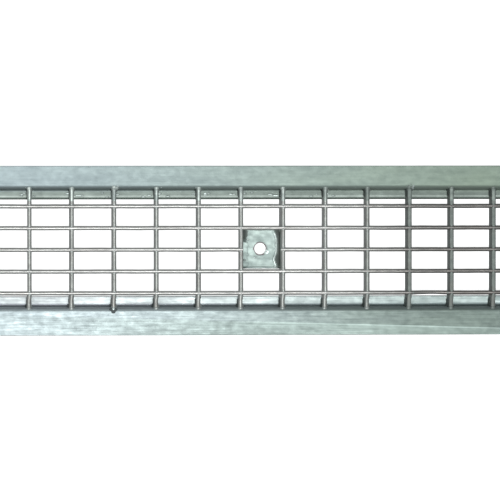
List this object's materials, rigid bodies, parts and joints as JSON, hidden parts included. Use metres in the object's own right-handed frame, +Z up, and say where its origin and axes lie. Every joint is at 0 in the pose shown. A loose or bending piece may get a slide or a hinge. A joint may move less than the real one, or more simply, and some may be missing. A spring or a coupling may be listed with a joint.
{
  "type": "channel drain grating",
  "caption": "Galvanised mesh grating for a narrow drainage channel, with folded rails, cross bars, long wires and a recessed plate for a locking bolt.",
  "frame": {"origin": "middle of the outline at the underside of the lips", "axes": "+X along the grating's length, +Y across the channel towards the narrower flange, +Z up out of the walking surface"},
  "size_m": [0.5, 0.1206, 0.02],
  "materials": {
    "rail_zinc": "hot-dip galvanised, pale and streaked along its length",
    "bar_zinc": "hot-dip galvanised, dull grey",
    "wire_zinc": "hot-dip galvanised, worn bright along the top",
    "plate_zinc": "hot-dip galvanised, mottled"
  },
  "bodies": {
    "root": {"back_rail": "rail_zinc", "front_rail": "rail_zinc", "cross_bar_01": "bar_zinc", "cross_bar_02": "bar_zinc", "cross_bar_03": "bar_zinc", "cross_bar_04": "bar_zinc", "cross_bar_05": "bar_zinc", "cross_bar_06": "bar_zinc", "cross_bar_07": "bar_zinc", "cross_bar_08": "bar_zinc", "cross_bar_09": "bar_zinc", "cross_bar_10": "bar_zinc", "cross_bar_11": "bar_zinc", "cross_bar_12": "bar_zinc", "cross_bar_13": "bar_zinc", "cross_bar_14": "bar_zinc", "cross_bar_15": "bar_zinc", "cross_bar_16": "bar_zinc", "end_bar_left": "bar_zinc", "end_bar_right": "bar_zinc", "long_wire_1": "wire_zinc", "long_wire_2": "wire_zinc", "long_wire_3_left": "wire_zinc", "long_wire_3_right": "wire_zinc", "long_wire_4": "wire_zinc", "long_wire_5": "wire_zinc", "lock_plate": "plate_zinc"}
  },
  "joints": []
}
